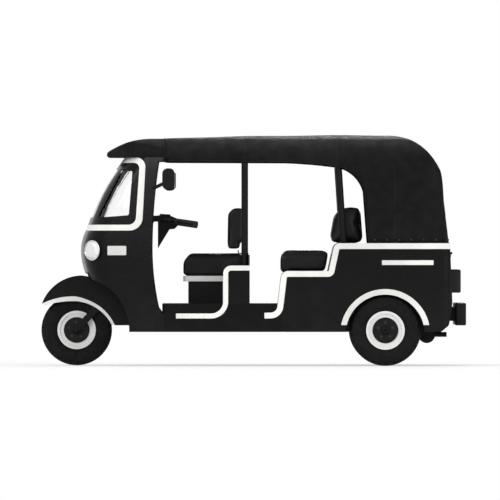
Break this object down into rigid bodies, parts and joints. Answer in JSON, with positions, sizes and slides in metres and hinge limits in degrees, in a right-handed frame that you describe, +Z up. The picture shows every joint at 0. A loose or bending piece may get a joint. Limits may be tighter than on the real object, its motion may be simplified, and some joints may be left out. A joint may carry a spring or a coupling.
{
  "type": "auto rickshaw",
  "caption": "Black three-wheeled auto rickshaw with canvas hood, white mouldings, steered front wheel, driver's seat and passenger bench.",
  "frame": {"origin": "on the ground below the middle of the vehicle's box", "axes": "+X forward, +Y to the vehicle's left, +Z up"},
  "size_m": [3.068, 1.51, 1.6643],
  "materials": {
    "black_paint": "gloss",
    "white_paint": "gloss",
    "clear_glass": "clear",
    "clear_sheet": "clear, slightly cloudy",
    "black_plastic": "grained",
    "black_canvas": "coated weave",
    "black_vinyl": "grained vinyl",
    "engine_metal": "cast",
    "dull_steel": "satin",
    "red_lens": "gloss",
    "white_lens": "gloss",
    "lamp_chrome": "polished",
    "tyre_rubber": "moulded",
    "wheel_paint": "gloss"
  },
  "bodies": {
    "body": {"chassis_frame": "black_paint", "floor_pan": "black_paint", "front_cowl": "black_paint", "wheel_house": "black_paint", "windscreen_moulding": "white_paint", "windscreen_frame": "black_paint", "windscreen_glass": "clear_glass", "quarter_glass": "clear_glass", "dashboard": "black_plastic", "roof_visor": "black_paint", "hood_canopy": "black_canvas", "hood_frame": "black_paint", "rear_window": "clear_sheet", "partition": "black_paint", "body_mouldings": "white_paint", "driver_seat_base": "black_paint", "driver_seat_tray": "white_paint", "driver_seat_cushion": "black_vinyl", "driver_seat_back": "black_vinyl", "seat_back_brackets": "black_paint", "passenger_seat_cushion": "black_vinyl", "passenger_seat_back": "black_vinyl", "rear_tub": "black_paint", "engine": "engine_metal", "rear_suspension": "black_paint", "silencer": "dull_steel", "rear_bumper": "black_paint", "tail_lamps": "red_lens", "headlamps": "lamp_chrome", "headlamp_lenses": "clear_glass", "indicators": "white_lens", "mirrors": "black_plastic"},
    "steering": {"fork": "black_paint", "front_mudguard": "black_paint", "mudguard_lip": "white_paint", "steering_head": "black_paint", "handlebar": "dull_steel", "grips": "black_plastic"},
    "front_wheel": {"front_tyre": "tyre_rubber", "front_rim": "wheel_paint"},
    "rear_left_wheel": {"rear_left_tyre": "tyre_rubber", "rear_left_rim": "wheel_paint"},
    "rear_right_wheel": {"rear_right_tyre": "tyre_rubber", "rear_right_rim": "wheel_paint"},
    "hatch": {"engine_hatch": "black_paint"}
  },
  "joints": [
    {"name": "steer", "type": "hinge", "parent": "body", "child": "steering", "pos_m": [1.07383, 0, 0.48223], "axis": [-0.5, 0, 0.866], "range_deg": [-40, 40]},
    {"name": "front_wheel_spin", "type": "hinge", "parent": "steering", "child": "front_wheel", "pos_m": [1.278, 0, 0.256], "axis": [0, 1, 0], "continuous": true},
    {"name": "rear_left_spin", "type": "hinge", "parent": "body", "child": "rear_left_wheel", "pos_m": [-0.952, 0.56, 0.256], "axis": [0, 1, 0], "continuous": true},
    {"name": "rear_right_spin", "type": "hinge", "parent": "body", "child": "rear_right_wheel", "pos_m": [-0.952, -0.56, 0.256], "axis": [0, 1, 0], "continuous": true},
    {"name": "hatch_lift", "type": "hinge", "parent": "body", "child": "hatch", "pos_m": [-1.4305, 0, 0.812], "axis": [0, 1, 0], "range_deg": [0, 75]}
  ]
}
